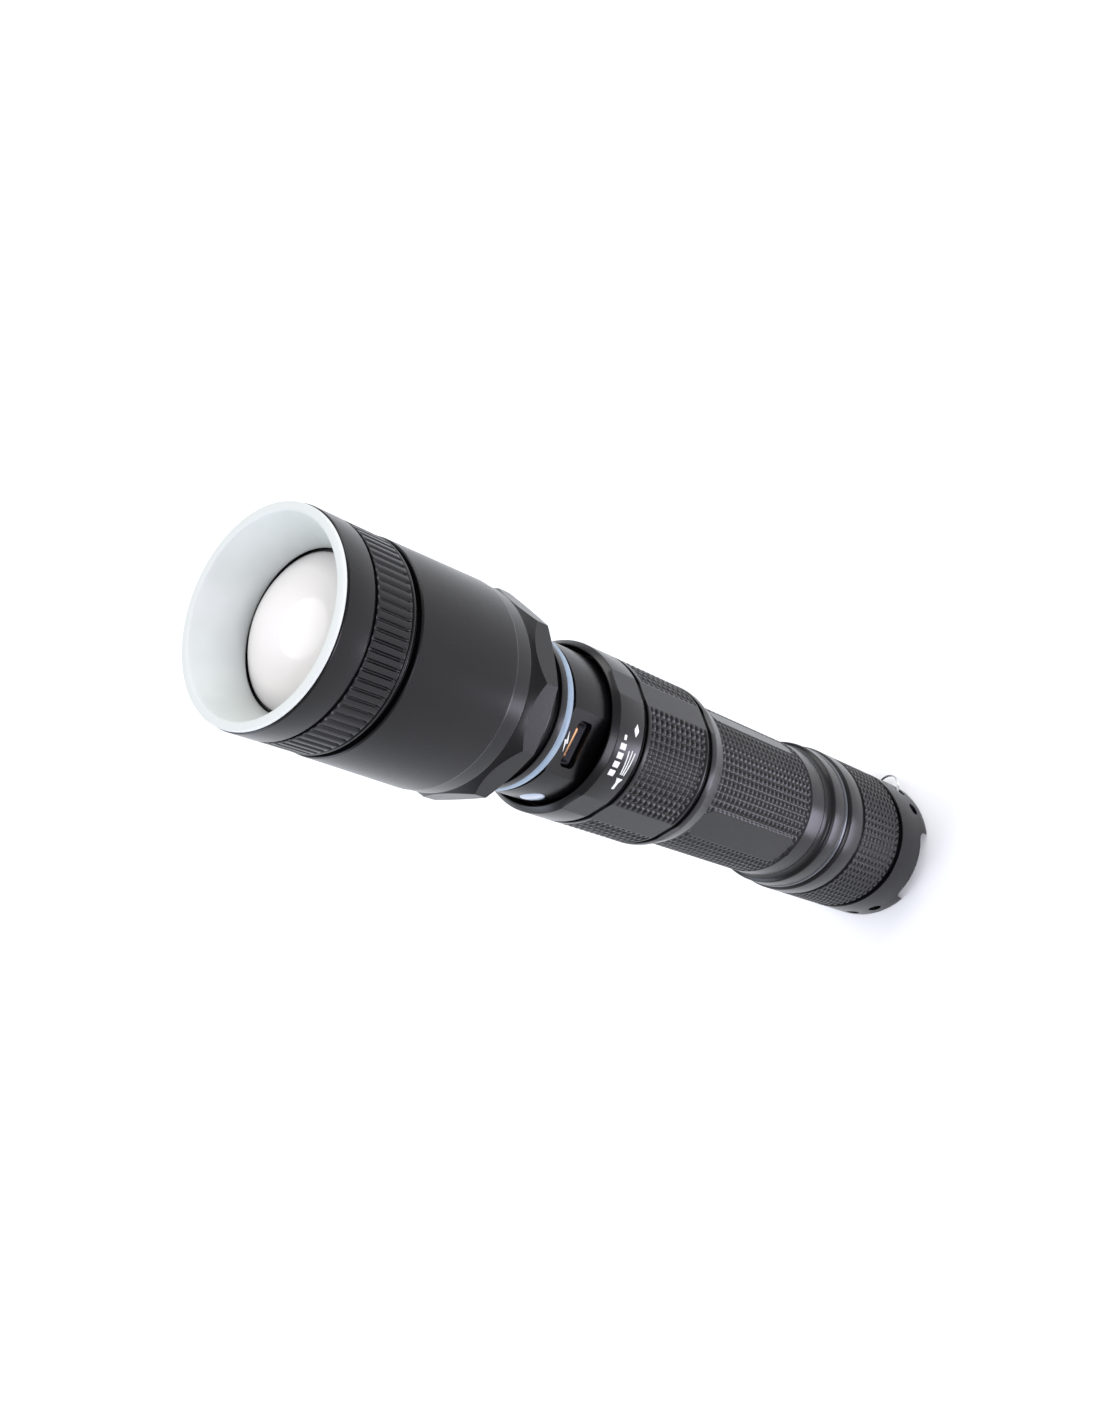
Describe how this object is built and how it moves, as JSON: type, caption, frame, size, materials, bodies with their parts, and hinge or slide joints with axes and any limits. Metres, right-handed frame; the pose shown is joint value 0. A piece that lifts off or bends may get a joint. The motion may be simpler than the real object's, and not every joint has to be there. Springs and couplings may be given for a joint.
{
  "type": "tactical flashlight",
  "caption": "Rotary-focus tactical flashlight with a white bezel cone, ribbed focus ring, sliding sleeve over a charging port, knurled tube and toothed tail cap with a push button.",
  "frame": {"origin": "on the torch's axis at the plane of the tail teeth, the centre of the bottom of the bounding box", "axes": "+Z along the beam, from the tail to the front rim; the charging port faces -Y"},
  "size_m": [0.0323, 0.0322, 0.1647],
  "materials": {
    "black_anodised": "satin black anodised aluminium",
    "white_bezel": "satin white",
    "bare_aluminium": "turned, unpainted",
    "rubber": "matt black",
    "tail_rubber": "greased, shiny",
    "lens_glass": "polished",
    "steel": "bright",
    "brass": "turned",
    "white_board": "white solder mask",
    "phosphor": "yellow phosphor",
    "emitter_dome": "clear silicone",
    "circuit_board": "green solder mask",
    "black_plastic": "matt",
    "indicator": "translucent blue-grey",
    "pale_silicone": "pale blue silicone",
    "gold_contact": "gold plated",
    "cell_wrap": "shrink sleeve"
  },
  "bodies": {
    "torch_body": {"head_barrel": "black_anodised", "focus_seal": "rubber", "guide_tube": "bare_aluminium", "led_pill": "brass", "led_board": "white_board", "led_emitter": "phosphor", "led_dome": "emitter_dome", "driver_board": "circuit_board", "driver_coil": "black_plastic", "charge_neck": "black_anodised", "indicator_light": "indicator", "seal_ring": "pale_silicone", "charge_board": "circuit_board", "charge_chip": "black_plastic", "usb_shell": "steel", "usb_tongue": "gold_contact", "battery_tube": "black_anodised", "sleeve_wiper_front": "rubber", "sleeve_wiper_rear": "rubber", "tail_seal": "tail_rubber", "contact_board": "circuit_board", "cell_contact": "gold_contact", "battery_cell": "cell_wrap", "cell_button": "steel"},
    "focus_head": {"focus_ring": "black_anodised", "bezel_cone": "white_bezel", "cam_sleeve": "bare_aluminium"},
    "lens_group": {"lens_carrier": "black_anodised", "lens_gasket": "rubber", "lens": "lens_glass", "guide_pin_1": "steel", "guide_pin_2": "steel", "guide_pin_3": "steel"},
    "charge_sleeve": {"port_sleeve": "black_anodised"},
    "tail_unit": {"tail_cap": "black_anodised", "boot_skirt": "rubber", "tail_switch": "black_plastic", "tail_board": "circuit_board", "tail_retainer": "brass", "tail_spring": "steel"},
    "tail_button": {"button_boot": "rubber", "button_stem": "black_plastic"},
    "key_ring": {"cord_ring": "steel"}
  },
  "joints": [
    {"name": "focus_turn", "type": "hinge", "parent": "torch_body", "child": "focus_head", "pos_m": [0, 0, 0.155], "axis": [0, 0, 1], "range_deg": [0, 100]},
    {"name": "lens_travel", "type": "slide", "parent": "torch_body", "child": "lens_group", "axis": [0, 0, 1], "range_m": [-0.008, 0]},
    {"name": "sleeve_slide", "type": "slide", "parent": "torch_body", "child": "charge_sleeve", "axis": [0, 0, 1], "range_m": [0, 0.0083]},
    {"name": "tail_cap_off", "type": "slide", "parent": "torch_body", "child": "tail_unit", "axis": [0, 0, -1], "range_m": [0, 0.02]},
    {"name": "button_press", "type": "slide", "parent": "tail_unit", "child": "tail_button", "axis": [0, 0, 1], "range_m": [0, 0.0015], "stiffness_N_per_m": 400},
    {"name": "ring_swing", "type": "hinge", "parent": "tail_unit", "child": "key_ring", "pos_m": [0.01266, 0.00002, 0.0024], "axis": [-0.0012, 0.9366, -0.3503], "range_deg": [-20, 20]}
  ],
  "couplings": [
    {"joint": "lens_travel", "follows": "focus_turn", "m_per_rad": -0.0045837}
  ]
}
